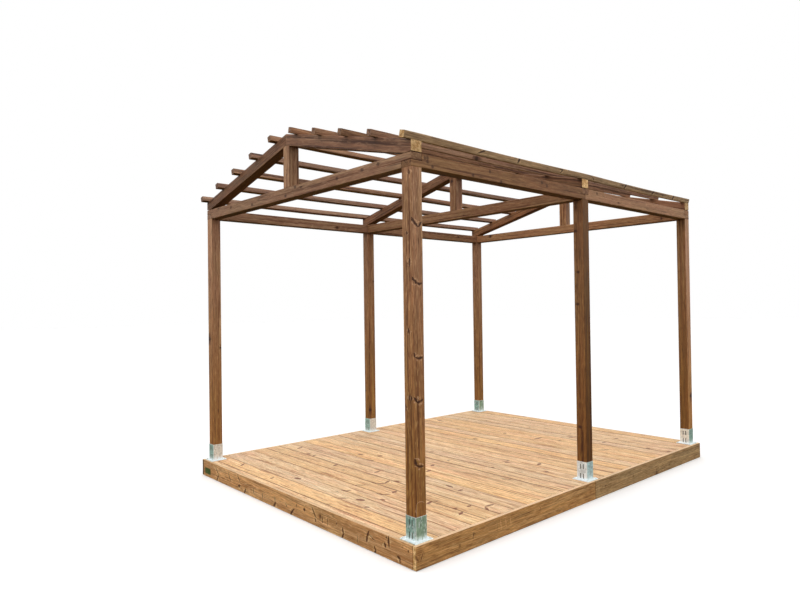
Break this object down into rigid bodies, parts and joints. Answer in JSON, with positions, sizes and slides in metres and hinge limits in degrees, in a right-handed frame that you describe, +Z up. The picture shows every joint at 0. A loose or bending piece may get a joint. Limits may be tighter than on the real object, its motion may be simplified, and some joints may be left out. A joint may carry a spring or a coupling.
{
  "type": "garden pergola on a timber deck",
  "caption": "Open gable-roofed garden pergola: square timber posts in steel shoes on a raised timber deck, halved wall plates and tie beams, king-post trusses and purlins.",
  "frame": {"origin": "on the ground, at the centre of the whole outline seen from above", "axes": "+X across the gables, +Y along the ridge away from the front gable, whose purlin ends stand proud, +Z up"},
  "size_m": [3, 4.01, 2.9742],
  "materials": {
    "frame_timber": "brown impregnated pine, satin",
    "roof_timber": "weathered brown impregnated pine, matt",
    "deck_board_timber": "light honey pine, matt",
    "fascia_timber": "light brown pine, matt",
    "joist_timber": "sawn pine, matt",
    "galvanised_steel": "hot-dip galvanised, spangled"
  },
  "bodies": {
    "root": {"deck_boards": "deck_board_timber", "deck_joists": "joist_timber", "fascia_back": "fascia_timber", "fascia_front": "fascia_timber", "fascia_left_back": "fascia_timber", "fascia_left_front": "fascia_timber", "fascia_right_back": "fascia_timber", "fascia_right_front": "fascia_timber", "king_post_back": "roof_timber", "king_post_front": "roof_timber", "king_post_middle": "roof_timber", "post_left_back": "frame_timber", "post_left_front": "frame_timber", "post_left_middle": "frame_timber", "post_right_back": "frame_timber", "post_right_front": "frame_timber", "post_right_middle": "frame_timber", "post_shoe_left_back": "galvanised_steel", "post_shoe_left_front": "galvanised_steel", "post_shoe_left_middle": "galvanised_steel", "post_shoe_right_back": "galvanised_steel", "post_shoe_right_front": "galvanised_steel", "post_shoe_right_middle": "galvanised_steel", "purlin_left_1": "roof_timber", "purlin_left_2": "roof_timber", "purlin_left_3": "roof_timber", "purlin_left_4": "roof_timber", "purlin_left_5": "roof_timber", "purlin_right_1": "roof_timber", "purlin_right_2": "roof_timber", "purlin_right_3": "roof_timber", "purlin_right_4": "roof_timber", "purlin_right_5": "roof_timber", "rafter_back_left": "roof_timber", "rafter_back_right": "roof_timber", "rafter_front_left": "roof_timber", "rafter_front_right": "roof_timber", "rafter_middle_left": "roof_timber", "rafter_middle_right": "roof_timber", "tie_beam_back": "frame_timber", "tie_beam_front": "frame_timber", "tie_beam_middle": "frame_timber", "wall_plate_left_back": "frame_timber", "wall_plate_left_front": "frame_timber", "wall_plate_right_back": "frame_timber", "wall_plate_right_front": "frame_timber"}
  },
  "joints": []
}
